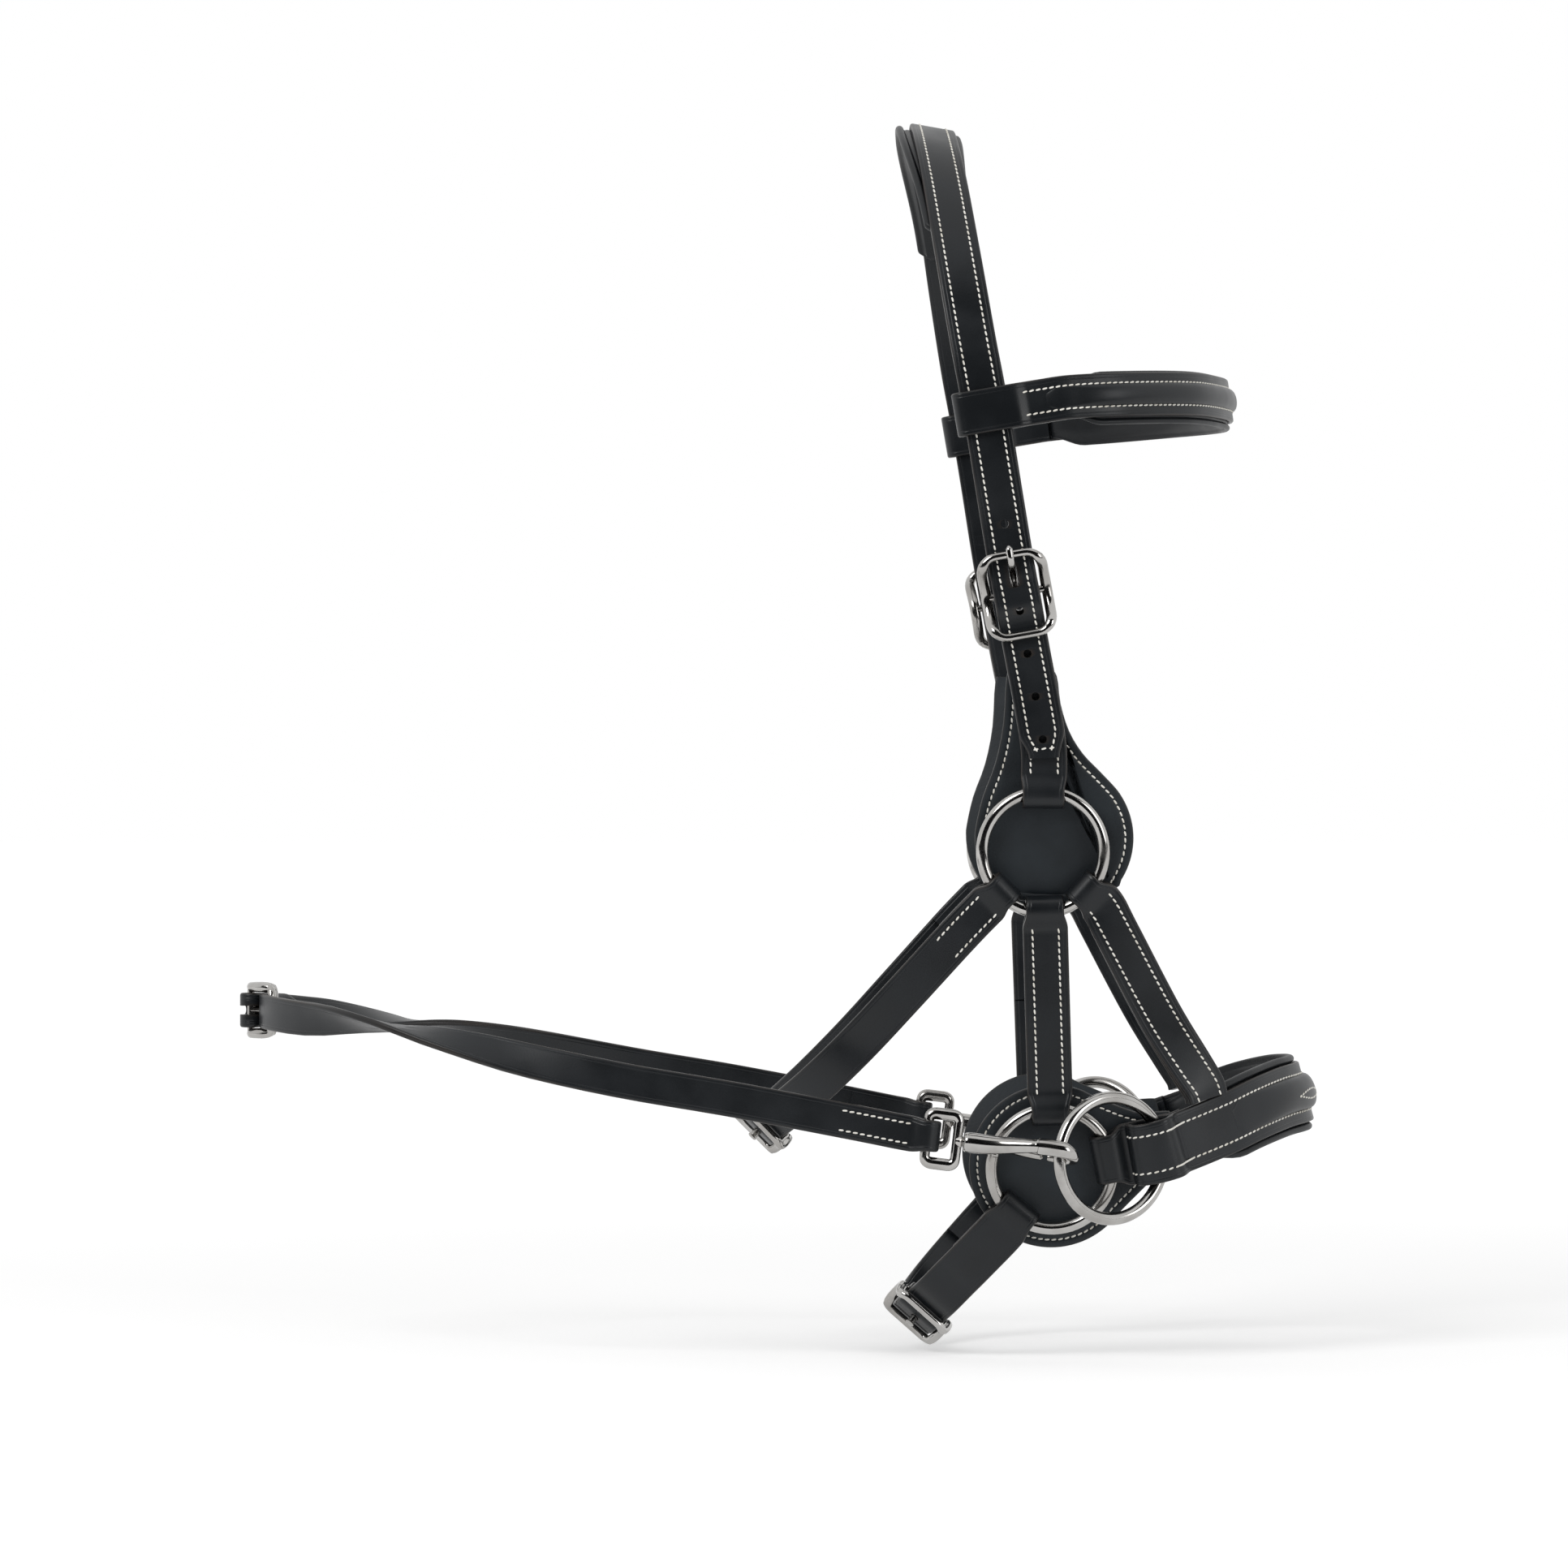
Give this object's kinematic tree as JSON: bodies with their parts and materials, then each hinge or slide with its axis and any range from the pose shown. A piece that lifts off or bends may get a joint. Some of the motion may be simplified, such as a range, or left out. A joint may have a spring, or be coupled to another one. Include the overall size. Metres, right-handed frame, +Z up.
{
  "type": "sidepull bridle",
  "caption": "Bitless bridle of doubled leather straps with a padded noseband, browband and poll pad, round side rings, strap buckles, snap hooks and a short closed rein.",
  "frame": {"origin": "underside of the poll pad at the middle, where the bridle hangs on the poll", "axes": "+X towards the nose, +Z up, near side at -Y and far side at +Y"},
  "size_m": [0.4803, 0.2366, 0.5415],
  "materials": {
    "leather": "satin black leather with off-white stitching",
    "lining": "soft padded black lining leather",
    "steel": "polished stainless steel"
  },
  "bodies": {
    "bridle": {"far_cheek_buckle": "steel", "far_cheek_safe": "leather", "far_cheekpiece": "leather", "far_front_strap": "leather", "far_lower_ring": "steel", "far_lower_safe": "leather", "far_side_strap": "leather", "far_upper_ring": "steel", "headpiece": "leather", "near_cheek_buckle": "steel", "near_cheek_safe": "leather", "near_cheekpiece": "leather", "near_front_strap": "leather", "near_lower_ring": "steel", "near_lower_safe": "leather", "near_side_strap": "leather", "near_upper_ring": "steel", "noseband": "leather", "noseband_lining": "lining", "noseband_roll": "leather", "poll_pad": "lining", "rein_billet": "leather", "rein_buckle": "steel", "rein_strap": "leather"},
    "near_tongue": {"near_cheek_tongue": "steel"},
    "far_tongue": {"far_cheek_tongue": "steel"},
    "near_rein_ring": {"near_rein_ring": "steel", "near_hook_body": "steel", "near_hook_eye": "steel", "near_hook_rivet": "steel"},
    "far_rein_ring": {"far_rein_ring": "steel", "far_hook_body": "steel", "far_hook_eye": "steel", "far_hook_rivet": "steel"},
    "near_gate": {"near_hook_gate": "steel"},
    "far_gate": {"far_hook_gate": "steel"},
    "jaw": {"jaw_billet": "leather", "jaw_strap": "leather", "jaw_buckle": "steel"},
    "chin": {"chin_billet": "leather", "chin_strap": "leather", "chin_buckle": "steel"},
    "browband": {"browband": "leather", "browband_lining": "lining", "browband_roll": "leather"}
  },
  "joints": [
    {"name": "near_tongue_hinge", "type": "hinge", "parent": "bridle", "child": "near_tongue", "pos_m": [0.0348, -0.10293, -0.20065], "axis": [0.9834, -0.022, 0.18], "range_deg": [0, 5]},
    {"name": "far_tongue_hinge", "type": "hinge", "parent": "bridle", "child": "far_tongue", "pos_m": [0.0348, 0.10293, -0.20065], "axis": [-0.9834, -0.022, -0.18], "range_deg": [0, 5]},
    {"name": "near_rein_ring_hinge", "type": "hinge", "parent": "bridle", "child": "near_rein_ring", "pos_m": [0.09937, -0.07554, -0.44541], "axis": [0, 0, 1], "range_deg": [-12, 12], "deforming": ["rein_billet"]},
    {"name": "far_rein_ring_hinge", "type": "hinge", "parent": "bridle", "child": "far_rein_ring", "pos_m": [0.09937, 0.07554, -0.44541], "axis": [0, 0, -1], "range_deg": [-12, 12], "deforming": ["rein_strap"]},
    {"name": "near_gate_hinge", "type": "hinge", "parent": "near_rein_ring", "child": "near_gate", "pos_m": [0.02606, -0.0994, -0.44009], "axis": [-0.1224, -0.3722, -0.92], "range_deg": [0, 14], "stiffness_Nm_per_rad": 0.02, "springref_deg": -17.19},
    {"name": "far_gate_hinge", "type": "hinge", "parent": "far_rein_ring", "child": "far_gate", "pos_m": [0.02606, 0.0994, -0.44009], "axis": [0.1224, -0.3722, 0.92], "range_deg": [0, 14], "stiffness_Nm_per_rad": 0.02, "springref_deg": -17.19},
    {"name": "jaw_hinge", "type": "hinge", "parent": "bridle", "child": "jaw", "pos_m": [0.0467, 0, -0.3124], "axis": [0, 1, 0], "range_deg": [-4, 6]},
    {"name": "chin_hinge", "type": "hinge", "parent": "bridle", "child": "chin", "pos_m": [0.0511, 0, -0.45068], "axis": [0, 1, 0], "range_deg": [-4, 4]},
    {"name": "browband_slide", "type": "slide", "parent": "bridle", "child": "browband", "axis": [-0.1673, 0, 0.9859], "range_m": [-0.004, 0.004]}
  ]
}
